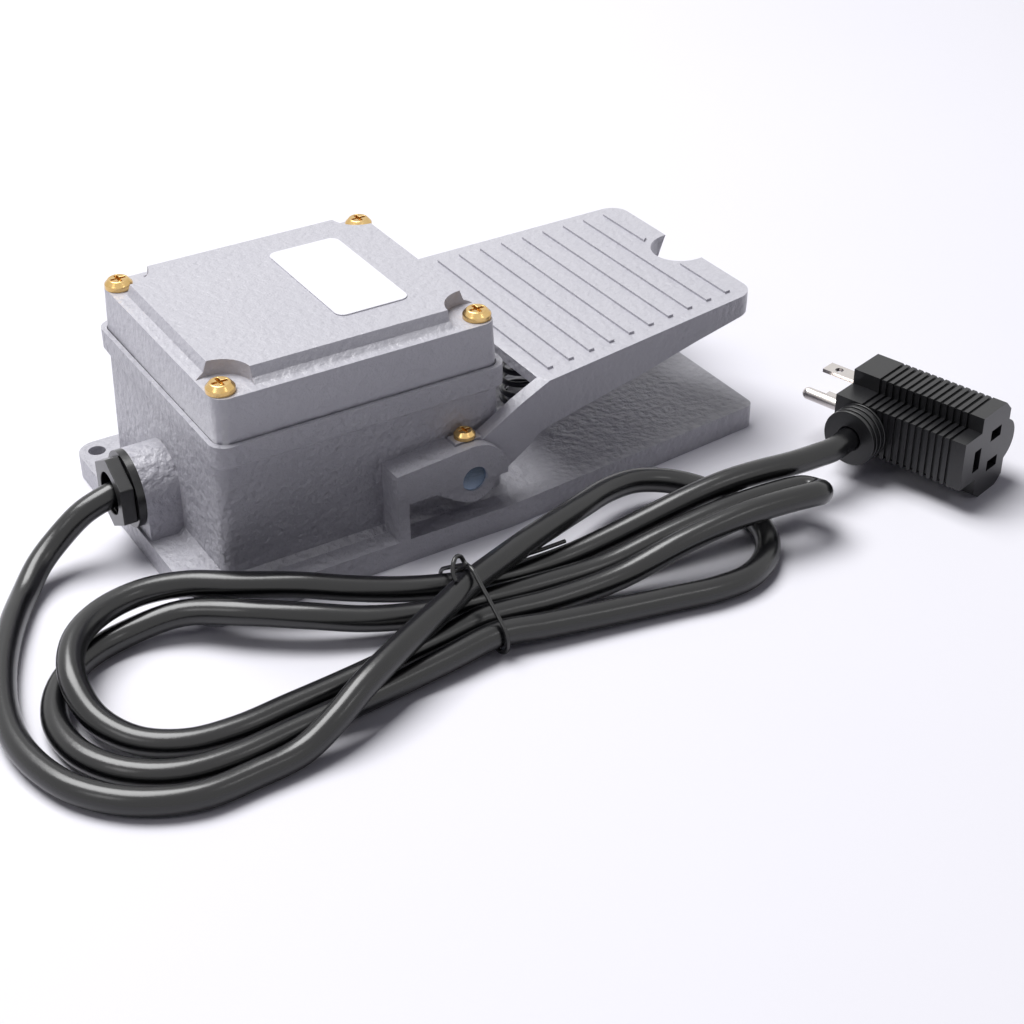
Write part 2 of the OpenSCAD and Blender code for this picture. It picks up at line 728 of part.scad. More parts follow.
module shaft_bushes() {
    outer_y = housing_w / 2 + wall_draft / 2;
    inner_y = housing_w / 2 - wall_t;
    color("#b08d4f") for (side = [-1, 1]) translate([pivot_x, 0, pivot_z]) difference() {
        union() {
            translate([0, side * (outer_y + inner_y) / 2, 0]) cross_pin(bush_r, outer_y - inner_y);
            translate([0, side * (inner_y - bush_flange_t / 2), 0]) cross_pin(bush_flange_r, bush_flange_t);
        }
        cross_pin(shaft_d / 2 + running_fit, plate_w);
    }
}

module shaft_lock_screws() {
    color("#c9a24a") for (side = [-1, 1])
        translate([pivot_x, side * (arm_inner_y + pedal_wall / 2), pivot_z + pad_h])
            pan_screw(lock_screw_d, pad_h - shaft_d / 2 - seat_gap / 2, lock_screw_head_d, lock_screw_head_h,
                lock_screw_d / 4, lock_screw_head_h / 2);
}

// Return spring: closed ends, one unbroken coil of six-sided wire
spring_foot = plate_t + seat_gap / 3;
spring_top = pivot_z + pedal_h - tread_t - (pedal_l - spring_x) * tan(tread_slope) - spring_pad_drop - seat_gap;
spring_rings = 8;
spring_seat_r = (spring_d - spring_wire) / 2 * cos(180 / spring_rings) - spring_wire / 2 - seat_gap;
function spring_lift(t) = let (rise = spring_top - spring_foot - spring_wire, free = spring_turns,
    closed_pitch = spring_wire + 2 * seat_gap)
    t < 1 ? closed_pitch * t
    : t > free - 1 ? rise - closed_pitch * (free - t)
    : closed_pitch + (rise - 2 * closed_pitch) * (t - 1) / (free - 2);
spring_points = [for (i = [0:spring_turns * spring_rings]) let (t = i / spring_rings, a = 360 * t,
    r = (spring_d - spring_wire) / 2)
    [pivot_x + spring_x + r * cos(a), r * sin(a), spring_foot + spring_wire / 2 + spring_lift(t)]];

module return_spring() {
    color("#1d1d1f") tube(spring_points, spring_wire, 6);
}

// Cam on the shaft and its grub screw
module switch_cam() {
    color("#7d838c") translate([pivot_x, 0, pivot_z]) difference() {
        union() {
            cross_pin(cam_r, cam_w);
            translate([-cam_reach, -cam_w / 2, cam_top - cam_nose_h]) cube([cam_reach, cam_w, cam_nose_h]);
        }
        cross_pin(shaft_d / 2 + press_fit, 2 * cam_w);
        rotate([0, 90, 0]) cylinder(d = grub_d + 2 * thread_fit, h = 2 * cam_r);
    }
}

module cam_grub_screw() {
    color("#3a3a3d") translate([pivot_x + shaft_d / 2 + seat_gap / 2, 0, pivot_z])
        rotate([0, 90, 0]) difference() {
        cylinder(d = grub_d, h = grub_l);
        translate([0, 0, grub_l / 2]) cylinder(d = grub_d / 2, h = grub_l, $fn = 6);
    }
}

// Bracket that holds the switch over the cam
module switch_bracket() {
    y0 = case_w / 2 + stand_gap;
    color("#a9adb5") difference() {
        union() {
            translate([stand_x0, y0, plate_t]) cube([stand_l, stand_t, case_z + case_h - plate_t]);
            translate([stand_x0, y0, plate_t]) cube([stand_l, stand_foot_w, stand_t]);
        }
        for (x = [stand_x0 + stand_screw_inset, stand_x0 + stand_l - stand_screw_inset])
            translate([x, stand_screw_y, plate_t - overrun])
                cylinder(d = small_screw_d + 2 * screw_gap, h = stand_t + 2 * overrun);
        at_switch_screws() cross_pin(small_screw_d / 2 + thread_fit, 3 * case_w);
    }
}

module at_switch_screws() {
    for (s = [-1, 1]) translate([stand_x0 + stand_l / 2 + s * switch_screw_spacing / 2, 0, switch_screw_z])
        children();
}

module switch_bracket_screws() {
    color("#b9c3cf") for (x = [stand_x0 + stand_screw_inset, stand_x0 + stand_l - stand_screw_inset])
        translate([x, stand_screw_y, plate_t + stand_t])
            pan_screw(small_screw_d, small_screw_l, small_head_d, small_head_h, small_screw_d / 4, small_head_h / 2);
}

// Snap switch: open case, lid, button, blade
module switch_case() {
    color("#2b2b2e") difference() {
        translate([case_x0, -case_w / 2 + lid_t, case_z]) cube([case_l, case_w - lid_t, case_h]);
        difference() {
            translate([case_x0 + case_t, -case_w / 2 + lid_t - overrun, case_z + case_t])
                cube([case_l - 2 * case_t, case_w - lid_t - case_t + overrun, case_h - 2 * case_t]);
            at_switch_screws() cross_pin(switch_post_r, 3 * case_w);
        }
        translate([button_x, 0, case_z - overrun])
            cylinder(r = button_r + running_fit, h = case_t + 2 * overrun);
        at_switch_screws() cross_pin(small_screw_d / 2 + screw_gap, 3 * case_w);
        for (x = terminal_xs) translate([x, terminal_hole_y, terminal_h - terminal_bore_l])
            cylinder(d = terminal_screw_d + 2 * thread_fit, h = terminal_bore_l + overrun);
    }
}

module switch_case_lid() {
    color("#333338") difference() {
        translate([case_x0, -case_w / 2, case_z]) cube([case_l, lid_t, case_h]);
        at_switch_screws() cross_pin(small_screw_d / 2 + screw_gap, 3 * case_w);
    }
}

module switch_button() {
    color("#a8322d") translate([button_x, 0, button_z]) {
        translate([0, 0, button_r]) {
            sphere(button_r);
            cylinder(r = button_r, h = button_l - button_r);
        }
        translate([0, 0, case_z - button_z + case_t + seat_gap])
            cylinder(r = button_collar_r, h = button_collar_t);
    }
}

module contact_blade() {
    color("#c7894b") translate([button_x - blade_l / 2, -blade_w / 2, button_z + button_l])
        cube([blade_l, blade_w, blade_t]);
}

module switch_screws() {
    color("#b9c3cf") at_switch_screws() translate([0, -case_w / 2, 0]) rotate([90, 0, 0])
        pan_screw(small_screw_d, case_w + stand_gap + stand_t + switch_screw_tail, small_head_d, small_head_h,
            small_screw_d / 4, small_head_h / 2);
}

module switch_terminals() {
    color("#d0b05c") for (x = terminal_xs) translate([x, 0, terminal_h]) difference() {
        translate([-terminal_l / 2, -terminal_w / 2, 0]) cube([terminal_l, terminal_w, terminal_t]);
        translate([0, terminal_hole_y, -overrun])
            cylinder(d = terminal_screw_d + 2 * screw_gap, h = terminal_t + 2 * overrun);
    }
}

module terminal_screws() {
    color("#b9c3cf") for (x = terminal_xs) translate([x, terminal_hole_y, terminal_h + terminal_t])
        pan_screw(terminal_screw_d, terminal_screw_l, terminal_head_d, small_head_h, terminal_screw_d / 4,
            small_head_h / 2);
}

module earth_screw() {
    color("#b9c3cf") translate([earth_x, earth_y, plate_t + earth_boss_h])
        pan_screw(small_screw_d, small_screw_l, small_head_d, small_head_h, small_screw_d / 4, small_head_h / 2);
}

// Wires from the gland to the terminals and the earth boss, routes chosen by hand
live_points = [[-88, 0, 26.8], [-82, 0, 26.8], [-76, -8, 32.4], [-72, -14, 44.4], [-69, -14, 56.4],
    [-65, -13, 65], [-56, -10.5, 64.3], [-51.5, -7, 63.7], [-50.5, -3.2, 63.7]];
load_points = [[-88, -2.4, 22.8], [-82, -2.4, 22.8], [-74, -16, 28.4], [-68, -22, 40.4], [-62, -22, 54.4],
    [-52, -20, 65], [-30, -15, 65.4], [-21, -11, 64.1], [-18, -7, 63.7], [-17.5, -3.2, 63.7]];
earth_points = [[-88, 2.4, 22.8], [-82, 2.4, 22.8], [-78, 9, 21.4], [-77, 17, 19.4], [-77.5, 22, 17.2],
    [-77.5, 26.2, 16.9]];

module live_wire() {
    color("#222222") tube(live_points, wire_d, 8, [0.2, 1, 0.1]);
}

module load_wire() {
    color("#e8e8e8") tube(load_points, wire_d, 8, [0.2, 1, 0.1]);
}

module earth_wire() {
    color("#3d8f4f") tube(earth_points, wire_d, 8, [0, 0, 1]);
}

// Cord gland in its boss
gland_x = cover_x0 - gland_boss_l;

module along_x(x) {
    translate([x, 0, gland_z]) rotate([0, 90, 0]) children();
}

module gland_body() {
    color("#1b1b1d") difference() {
        union() {
            along_x(gland_x) cylinder(d = gland_d, h = gland_thread_l);
            along_x(gland_x - gland_flange_t) cylinder(r = gland_flange_r, h = gland_flange_t);
            along_x(gland_x - gland_flange_t - gland_stub_l)
                cylinder(d = gland_stub_d, h = gland_stub_l + overrun);
        }
        along_x(gland_x - plate_w) cylinder(d = gland_bore, h = 2 * plate_w);
    }
}

module gland_seal() {
    color("#2a2a2c") along_x(gland_x - gland_flange_t - gland_stub_l + seal_setback) difference() {
        cylinder(d = gland_bore - 2 * press_fit, h = seal_l);
        translate([0, 0, -overrun]) cylinder(d = cord_d - seal_squeeze, h = seal_l + 2 * overrun);
    }
}

module gland_nut() {
    r = gland_nut_af / sqrt(3);
    color("#161618") along_x(gland_x - gland_flange_t - seat_gap - gland_nut_l) difference() {
        cylinder(r = r, h = gland_nut_l, $fn = 6);
        translate([0, 0, gland_nut_lip]) cylinder(d = gland_stub_d + 2 * thread_fit, h = gland_nut_l);
        translate([0, 0, -overrun]) cylinder(d = gland_nut_hole, h = gland_nut_l);
    }
}

module gland_locknut() {
    inner_x = cover_xm - housing_l / 2 + wall_t;
    color("#77797f") along_x(inner_x) difference() {
        cylinder(r = gland_lock_af / sqrt(3), h = gland_lock_t, $fn = 6);
        translate([0, 0, -overrun]) cylinder(d = gland_d + 2 * thread_fit, h = gland_lock_t + 2 * overrun);
    }
}

// Hank: out along one run, round the arc and back along the other, from waist crossing to waist crossing
function touch_angle(c, r, p, side) = let (v = p - c) atan2(v[1], v[0]) + side * acos(r / norm(v));
function half_turn(k) = let (h = half_turns[k], c = [h[0], h[1]], r = h[2], steps = h[3],
    p0 = [waist_x, waist_points[k][0]], p1 = [waist_x, waist_points[k + 1][0]],
    a0 = touch_angle(c, r, p0, -1),
    a1 = touch_angle(c, r, p1, 1),
    sweep = a1 > a0 ? a1 - a0 - 360 : a1 - a0,
    start = c + r * [cos(a0), sin(a0)],
    end = c + r * [cos(a1), sin(a1)],
    plan = concat([for (s = run_shares) p0 + (start - p0) * s],
        [for (i = [0:steps]) c + r * [cos(a0 + sweep * i / steps), sin(a0 + sweep * i / steps)]],
        [for (i = [len(run_shares) - 1:-1:0]) let (s = run_shares[i])
            p1 + (end - p1) * s - [0, h[4] * sin(180 * s)]]))
    concat([[waist_x, waist_points[k][0], waist_points[k][1]]],
        [for (i = [0:len(plan) - 1]) [plan[i][0], plan[i][1], turn_heights[k][i]]]);
hank_points = concat([lead_points[len(lead_points) - 1]], [for (k = [0:3]) each half_turn(k)],
    [[waist_x, waist_points[4][0], waist_points[4][1]], tail_points[0]]);
cord_length = route_length(lead_points) + route_length(hank_points) + route_length(tail_points);

// Least gap of the hank to itself, from points a quarter of a ring apart, past
// the nearest rings of the same bend
gap_steps = 4;
gap_skip = 5;
hank_dense = [for (i = [0:len(hank_points) - 2]) for (j = [0:gap_steps - 1])
    hank_points[i] + (hank_points[i + 1] - hank_points[i]) * j / gap_steps];
hank_gap = min([for (i = [0:len(hank_dense) - 1]) for (j = [i + gap_skip * gap_steps:1:len(hank_dense) - 1])
    norm(hank_dense[i] - hank_dense[j])]) - cord_d;
echo(hank_gap = hank_gap, cord_length = cord_length, hank_rings = len(hank_points));

module cord_lead() {
    color("#101013") tube(lead_points, cord_d, lead_sides);
}

module cord_hank() {
    color("#101013") tube(hank_points, cord_d, hank_sides);
}

module cord_tail() {
    color("#101013") tube(tail_points, cord_d, lead_sides);
}

// Wire tie round the strands at the waist
module tie_outline(extra) {
    hull() for (w = waist_points) translate([w[0], w[1]]) circle(cord_d / 2 + extra, $fn = 24);
}

module cord_tie() {
    color("#0c0c0e") translate([waist_x - tie_wire / 2, 0, 0]) rotate([90, 0, 90])
        linear_extrude(tie_wire) difference() {
        intersection() {
            tie_outline(tie_slack + tie_wire);
            translate([-plate_l, 0]) square([plate_l, plate_l]);
        }
        tie_outline(tie_slack);
    }
}

// Plug pieces, placed along the plug's own axis
module on_plug() {
    translate([plug_x, plug_y, 0]) rotate([0, 0, plug_turn]) children();
}

// Plug section, drawn across and up, seen from the prongs
module plug_section(grow) {
    union() {
        polygon([[bar_near - grow, bar_cut - grow], [bar_near + bar_cut - grow, 0], [bar_far - bar_cut + grow, 0],
            [bar_far + grow, bar_cut - grow], [bar_far + grow, bar_h - bar_cut + grow],
            [bar_far - bar_cut + grow, bar_h + grow], [bar_near - grow, bar_h + grow]]);
        polygon([[lobe_near - grow, lobe_z0 - grow], [bar_far - bar_cut, lobe_z0 - grow],
            [bar_far - bar_cut, lobe_z1 + grow], [lobe_near - grow, lobe_z1 + grow]]);
        translate([bulge_across, plug_axis_z]) circle(bulge_r + grow);
    }
}

// Slab of the plug's section from one place to another along its axis
module plug_slab(a0, a1, grow) {
    translate([a0, 0, 0]) rotate([90, 0, 90]) linear_extrude(a1 - a0) mirror([1, 0]) plug_section(grow);
}

module plug_body() {
    color("#17171a") on_plug() difference() {
        union() {
            plug_slab(plug_end, plug_face, 0);
            plug_slab(plug_end, plug_end + 2 * plug_rib_pitch, plug_rib_h);
            plug_slab(plug_rib_first + plug_rib_pitch, plug_face, plug_rib_h);
            for (i = [0:plug_rib_count - 1])
                plug_slab(plug_rib_first - i * plug_rib_pitch,
                    plug_rib_first - i * plug_rib_pitch + plug_rib_w, plug_rib_h);
            translate([collar_back, -bar_near, plug_axis_z]) rotate([-90, 0, 0])
                cylinder(r = collar_r - collar_groove, h = bar_near - lobe_near + plug_rib_h);
        }
        for (s = [-1, 1]) translate([plug_end - overrun, -prong_offset - slot_l / 2,
            plug_axis_z + s * blade_pitch / 2 - slot_w / 2])
            cube([slot_depth + overrun, slot_l, slot_w]);
        translate([plug_end - overrun, -slot_w / 2, plug_axis_z - ground_slot_l / 2])
            cube([slot_depth + overrun, slot_w, ground_slot_l]);
    }
}

// Collar on the plug's cord boss, ringed by grooves
module plug_collar() {
    l = lobe_near - plug_rib_h - collar_across;
    color("#17171a") on_plug() translate([collar_back, -lobe_near + plug_rib_h, plug_axis_z])
        rotate([-90, 0, 0]) difference() {
        cylinder(r = collar_r, h = l);
        translate([0, 0, l - collar_socket]) cylinder(r = cord_d / 2 + screw_gap, h = collar_socket + overrun);
        for (i = [0:collar_ribs - 1]) translate([0, 0, (i + collar_rib_lead) * collar_rib_pitch]) difference() {
            cylinder(r = collar_r + overrun, h = collar_groove);
            translate([0, 0, -overrun]) cylinder(r = collar_r - collar_groove, h = collar_groove + 2 * overrun);
        }
    }
}

module plug_blades() {
    color("#b9b4b2") on_plug() for (s = [-1, 1])
        translate([plug_face + plug_rib_h, -prong_offset - prong_w / 2, plug_axis_z + s * blade_pitch / 2 - prong_t / 2])
            difference() {
                cube([prong_l, prong_w, prong_t]);
                translate([prong_l - prong_hole_back, prong_w / 2, -overrun])
                    cylinder(d = prong_hole_d, h = prong_t + 2 * overrun);
            }
}

module plug_ground_pin() {
    color("#b9b4b2") on_plug() translate([plug_face, 0, plug_axis_z]) rotate([0, 90, 0]) {
        cylinder(d = pin_d, h = pin_l - pin_d / 2);
        translate([0, 0, pin_l - pin_d / 2]) sphere(d = pin_d);
    }
}

base_casting();
box_cover();
cover_gasket();
cover_screws();
label_plate();
pedal();
pivot_shaft();
shaft_bushes();
shaft_lock_screws();
return_spring();
switch_cam();
cam_grub_screw();
switch_bracket();
switch_bracket_screws();
switch_case();
switch_case_lid();
switch_button();
contact_blade();
switch_screws();
switch_terminals();
terminal_screws();
earth_screw();
live_wire();
load_wire();
earth_wire();
gland_body();
gland_seal();
gland_nut();
gland_locknut();
cord_lead();
cord_hank();
cord_tail();
cord_tie();
plug_body();
plug_collar();
plug_blades();
plug_ground_pin();
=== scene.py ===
"""Looks of the cast foot switch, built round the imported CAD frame."""
import json
import logging
import math
from dataclasses import dataclass, field
from enum import Enum
from typing import Any, Iterable, Sequence

import bmesh
import bpy
from mathutils import Matrix, Vector


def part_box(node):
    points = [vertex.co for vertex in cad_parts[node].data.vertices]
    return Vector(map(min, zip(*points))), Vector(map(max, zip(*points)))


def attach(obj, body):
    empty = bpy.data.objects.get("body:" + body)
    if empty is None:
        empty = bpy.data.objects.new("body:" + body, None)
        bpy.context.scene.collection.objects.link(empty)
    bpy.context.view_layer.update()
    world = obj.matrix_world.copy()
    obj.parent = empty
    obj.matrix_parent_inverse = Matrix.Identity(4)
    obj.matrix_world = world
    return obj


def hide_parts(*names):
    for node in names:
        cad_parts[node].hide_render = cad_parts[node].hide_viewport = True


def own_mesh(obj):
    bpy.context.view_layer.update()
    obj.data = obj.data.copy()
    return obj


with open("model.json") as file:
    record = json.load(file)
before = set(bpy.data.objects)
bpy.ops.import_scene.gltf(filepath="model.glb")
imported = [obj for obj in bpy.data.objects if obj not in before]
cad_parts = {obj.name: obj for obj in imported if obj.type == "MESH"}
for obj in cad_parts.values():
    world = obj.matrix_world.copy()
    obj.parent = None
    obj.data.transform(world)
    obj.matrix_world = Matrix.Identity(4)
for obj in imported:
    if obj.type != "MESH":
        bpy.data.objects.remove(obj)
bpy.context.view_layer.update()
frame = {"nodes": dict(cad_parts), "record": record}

LOG = logging.getLogger("foot_switch")
MM = 0.001
# The power of the spacing that makes a smooth curve pass sharp bends without loops
CENTRIPETAL = 0.5
# The Mix node has a set of sockets for each kind of data: these are for colours
MIX_FIRST, MIX_SECOND, MIX_RESULT = 6, 7, 2
Point = tuple[float, float, float]


class Slot(Enum):
    """The record's material slots."""

    CASTING_PAINT = "casting_paint"
    COVER_PAINT = "cover_paint"
    BLACK_RUBBER = "black_rubber"
    YELLOW_ZINC = "yellow_zinc"
    LABEL = "label"
    BRIGHT_ZINC = "bright_zinc"
    BRONZE = "bronze"
    BLACK_STEEL = "black_steel"
    BARE_STEEL = "bare_steel"
    BLACK_PLASTIC = "black_plastic"
    RED_PLASTIC = "red_plastic"
    COPPER = "copper"
    BRASS = "brass"
    BLACK_PVC = "black_pvc"
    WHITE_PVC = "white_pvc"
    GREEN_PVC = "green_pvc"
    PLUG_PVC = "plug_pvc"
    NICKEL = "nickel"


@dataclass(frozen=True)
class Finish:
    """One real finish: its name, colours, gloss and surface pattern, in millimetres."""

    name: str
    colour: str
    tint: str
    roughness: float
    metallic: float = 0.0
    coat: float = 0.0
    spread: float = 0.08
    cloud_mm: float = 12.0
    grain_mm: float = 1.0
    grain: float = 0.08
    crease_mm: float = 2.4
    crease: float = 0.0


FINISHES: dict[Slot, Finish] = {
    # Baked wrinkle paint on sand-cast aluminium: matt worms that break up every highlight. The
    # real ones look about a millimetre wide, and are drawn wider to show in the render
    Slot.CASTING_PAINT: Finish(
        "wrinkle_painted_cast_aluminium", "#B6B5BC", "#ADACB4", 0.36, coat=0.2, spread=0.12,
        cloud_mm=22, grain_mm=1.7, grain=1.0, crease_mm=2.8, crease=0.9),
    # The same paint sprayed thinner on the cover and pedal: weaker grain, a bit more shine
    Slot.COVER_PAINT: Finish(
        "thin_painted_cast_aluminium", "#BEBDC4", "#B7B6BE", 0.34, coat=0.25,
        cloud_mm=30, grain_mm=1.7, grain=0.6, crease_mm=3.0, crease=0.4),
    # Die-cut nitrile sheet: dull black
    Slot.BLACK_RUBBER: Finish("die_cut_nitrile_rubber", "#0E0E10", "#161618", 0.6, grain_mm=0.6),
    # Yellow chromate over zinc: straw gold with a faint drift of hue
    Slot.YELLOW_ZINC: Finish(
        "yellow_chromate_zinc_on_steel", "#C9A05A", "#DCC08C", 0.24, metallic=1,
        cloud_mm=3, grain_mm=0.4, grain=0.05),
    # Blank polyester label: clean white with a soft gloss
    Slot.LABEL: Finish(
        "blank_polyester_label", "#EDECF2", "#E8E7EE", 0.3, coat=0.2,
        cloud_mm=20, grain_mm=2, grain=0.02),
    # Clear chromate over zinc: bluish silver
    Slot.BRIGHT_ZINC: Finish(
        "clear_chromate_zinc_on_steel", "#A8B6C8", "#8497B2", 0.26, metallic=1,
        cloud_mm=3, grain_mm=0.5),
    # Pressed and sintered bronze: open grain, little shine
    Slot.BRONZE: Finish(
        "sintered_bronze", "#A97E4A", "#8F6A3E", 0.42, metallic=1,
        cloud_mm=4, grain_mm=0.5, grain=0.15),
    # Oil-blackened spring wire: dark with sharp glints
    Slot.BLACK_STEEL: Finish(
        "oil_blackened_spring_steel", "#26262A", "#36363C", 0.3, metallic=0.8,
        cloud_mm=4, grain_mm=0.5),
    # Turned mild steel: grey, with a fine grain that stands for its tool marks
    Slot.BARE_STEEL: Finish(
        "turned_mild_steel", "#8C9096", "#7F8389", 0.34, metallic=1,
        cloud_mm=5, grain_mm=0.4, grain=0.12),
    # Moulded nylon: black with a soft satin
    Slot.BLACK_PLASTIC: Finish(
        "moulded_black_nylon", "#08080A", "#0E0E11", 0.3, coat=0.15, cloud_mm=9, grain_mm=0.7),
    # Moulded ABS button
    Slot.RED_PLASTIC: Finish(
        "moulded_red_abs", "#A1322C", "#8C2A26", 0.3, coat=0.1, cloud_mm=5, grain=0.04),
    # Rolled beryllium copper strip
    Slot.COPPER: Finish(
        "rolled_beryllium_copper", "#C08A58", "#A8764A", 0.3, metallic=1,
        cloud_mm=4, grain_mm=0.5),
    # Stamped brass plate
    Slot.BRASS: Finish(
        "stamped_brass", "#C8A65A", "#B08E48", 0.3, metallic=1, cloud_mm=4, grain_mm=0.5),
    # Extruded PVC jacket: near-black gloss with two long thin highlights
    Slot.BLACK_PVC: Finish(
        "extruded_black_pvc", "#060608", "#0A0A0D", 0.25, coat=0.2, spread=0.1,
        cloud_mm=26, grain_mm=1.6, grain=0.04),
    # Extruded PVC wire insulation
    Slot.WHITE_PVC: Finish(
        "extruded_white_pvc", "#DEDEE0", "#D2D2D6", 0.36, coat=0.1, cloud_mm=8, grain=0.03),
    Slot.GREEN_PVC: Finish(
        "extruded_green_pvc", "#2F7A42", "#2A6E3B", 0.36, coat=0.1, cloud_mm=8, grain=0.03),
    # Moulded soft PVC plug: black with a fine spark-eroded texture
    Slot.PLUG_PVC: Finish(
        "moulded_soft_black_pvc", "#08080B", "#0D0D11", 0.38, coat=0.1,
        cloud_mm=10, grain_mm=0.6, grain=0.14),
    # Nickel-plated brass pins: bright with a warm cast
    Slot.NICKEL: Finish(
        "nickel_plated_brass", "#CBC5C2", "#DAD5D2", 0.2, metallic=1,
        cloud_mm=5, grain_mm=0.5, grain=0.04),
}


def linear(hex_colour: str) -> tuple[float, float, float, float]:
    """Turns an sRGB hex colour into linear light.

    Args:
        hex_colour: A hash and six hex digits.

    Returns:
        Red, green, blue and alpha from 0 to 1.
    """
    parts = [int(hex_colour[i:i + 2], 16) / 255 for i in (1, 3, 5)]
    red, green, blue = (c / 12.92 if c <= 0.04045 else ((c + 0.055) / 1.055) ** 2.4 for c in parts)
    return (red, green, blue, 1.0)


def blank_tree(owner: bpy.types.Material | bpy.types.World) -> bpy.types.NodeTree:
    """Gives a material or a world an empty node tree.

    Args:
        owner: The material or world.

    Returns:
        Its tree.
    """
    owner.use_nodes = True
    owner.node_tree.nodes.clear()
    return owner.node_tree


def add_node(tree: bpy.types.NodeTree, kind: str, settings: dict[Any, Any] | None = None,
             links: dict[Any, Any] | None = None) -> bpy.types.Node:
    """Adds a shader node with its settings and links.

    Args:
        tree: The node tree.
        kind: The node's type name.
        settings: Input values by name or number, and the node's own properties by a name with a
            leading dot.
        links: Output sockets by the name or number of the input that they feed.

    Returns:
        The new node.
    """
    node = tree.nodes.new(kind)
    for name, value in (settings or {}).items():
        if str(name).startswith("."):
            setattr(node, name[1:], value)
        else:
            node.inputs[name].default_value = value
    for name, socket in (links or {}).items():
        tree.links.new(socket, node.inputs[name])
    return node


def add_object(name: str, data: bpy.types.ID) -> bpy.types.Object:
    """Puts a mesh, curve, lamp or camera into the scene.

    Args:
        name: The object's name.
        data: What it shows.

    Returns:
        The object.
    """
    obj = bpy.data.objects.new(name, data)
    bpy.context.scene.collection.objects.link(obj)
    return obj


@dataclass
class Paintshop:
    """Builds one procedural material for each finish."""

    cloud_detail: float = 4.0
    grain_detail: float = 3.0
    grain_roughness: float = 0.55
    grain_depth: float = 0.5
    crease_depth: float = 0.35
    coat_roughness: float = 0.25
    made: dict[Slot, bpy.types.Material] = field(default_factory=dict)

    def get(self, slot: Slot) -> bpy.types.Material:
        """Returns the material of a slot.

        Args:
            slot: The record's slot.

        Returns:
            The material, built the first time that it is asked for.
        """
        if slot not in self.made:
            self.made[slot] = self._build(FINISHES[slot])
        return self.made[slot]

    def _relief(self, tree: bpy.types.NodeTree, finish: Finish,
                place: bpy.types.NodeSocket) -> bpy.types.NodeSocket:
        """Builds the surface relief: fine grain, with creases over it where the finish has them.

        Args:
            tree: The material's node tree.
            finish: The finish.
            place: The coordinates of the surface.

        Returns:
            The bent normal.
        """
        grain = add_node(tree, "ShaderNodeTexNoise",
                         {"Scale": 1 / (finish.grain_mm * MM), "Detail": self.grain_detail,
                          "Roughness": self.grain_roughness}, {"Vector": place})
        bump = add_node(tree, "ShaderNodeBump",
                        {"Strength": finish.grain,
                         "Distance": finish.grain_mm * MM * self.grain_depth},
                        {"Height": grain.outputs["Fac"]})
        if finish.crease > 0:
            worms = add_node(tree, "ShaderNodeTexVoronoi",
                             {".feature": "SMOOTH_F1", "Scale": 1 / (finish.crease_mm * MM)},
                             {"Vector": place})
            bump = add_node(tree, "ShaderNodeBump",
                            {"Strength": finish.crease,
                             "Distance": finish.crease_mm * MM * self.crease_depth},
                            {"Height": worms.outputs["Distance"],
                             "Normal": bump.outputs["Normal"]})
        return bump.outputs["Normal"]

    def _build(self, finish: Finish) -> bpy.types.Material:
        """Builds a material with drifting colour and gloss, grain and creases.

        Args:
            finish: The finish.

        Returns:
            The material.
        """
        material = bpy.data.materials.new(finish.name)
        tree = blank_tree(material)
        place = add_node(tree, "ShaderNodeTexCoord").outputs["Object"]
        cloud = add_node(tree, "ShaderNodeTexNoise",
                         {"Scale": 1 / (finish.cloud_mm * MM), "Detail": self.cloud_detail},
                         {"Vector": place}).outputs["Fac"]
        colour = add_node(tree, "ShaderNodeMix",
                          {".data_type": "RGBA", MIX_FIRST: linear(finish.colour),
                           MIX_SECOND: linear(finish.tint)}, {0: cloud})
        rough = add_node(tree, "ShaderNodeMapRange",
                         {"To Min": finish.roughness - finish.spread / 2,
                          "To Max": finish.roughness + finish.spread / 2}, {"Value": cloud})
        shader = add_node(tree, "ShaderNodeBsdfPrincipled",
                          {"Metallic": finish.metallic, "Coat Weight": finish.coat,
                           "Coat Roughness": self.coat_roughness},
                          {"Base Color": colour.outputs[MIX_RESULT],
                           "Roughness": rough.outputs["Result"],
                           "Normal": self._relief(tree, finish, place)})
        add_node(tree, "ShaderNodeOutputMaterial", links={"Surface": shader.outputs["BSDF"]})
        return material


def smooth(points: Sequence[Vector], steps: int) -> list[Vector]:
    """Runs a smooth curve, a centripetal Catmull-Rom spline, through the points.

    Args:
        points: The points to pass.
        steps: How many pieces each stretch is cut into.

    Returns:
        Points along the curve.
    """
    ends = [points[0] * 2 - points[1], *points, points[-1] * 2 - points[-2]]
    out: list[Vector] = []
    for p0, p1, p2, p3 in zip(ends, ends[1:], ends[2:], ends[3:]):
        knots = [0.0]
        for a, b in ((p0, p1), (p1, p2), (p2, p3)):
            knots.append(knots[-1] + (b - a).length ** CENTRIPETAL)
        t0, t1, t2, t3 = knots
        for i in range(steps):
            t = t1 + (t2 - t1) * i / steps
            a1 = p0.lerp(p1, (t - t0) / (t1 - t0))
            a2 = p1.lerp(p2, (t - t1) / (t2 - t1))
            a3 = p2.lerp(p3, (t - t2) / (t3 - t2))
            b1 = a1.lerp(a2, (t - t0) / (t2 - t0))
            b2 = a2.lerp(a3, (t - t1) / (t3 - t1))
            out.append(b1.lerp(b2, (t - t1) / (t2 - t1)))
    out.append(points[-1].copy())
    return out


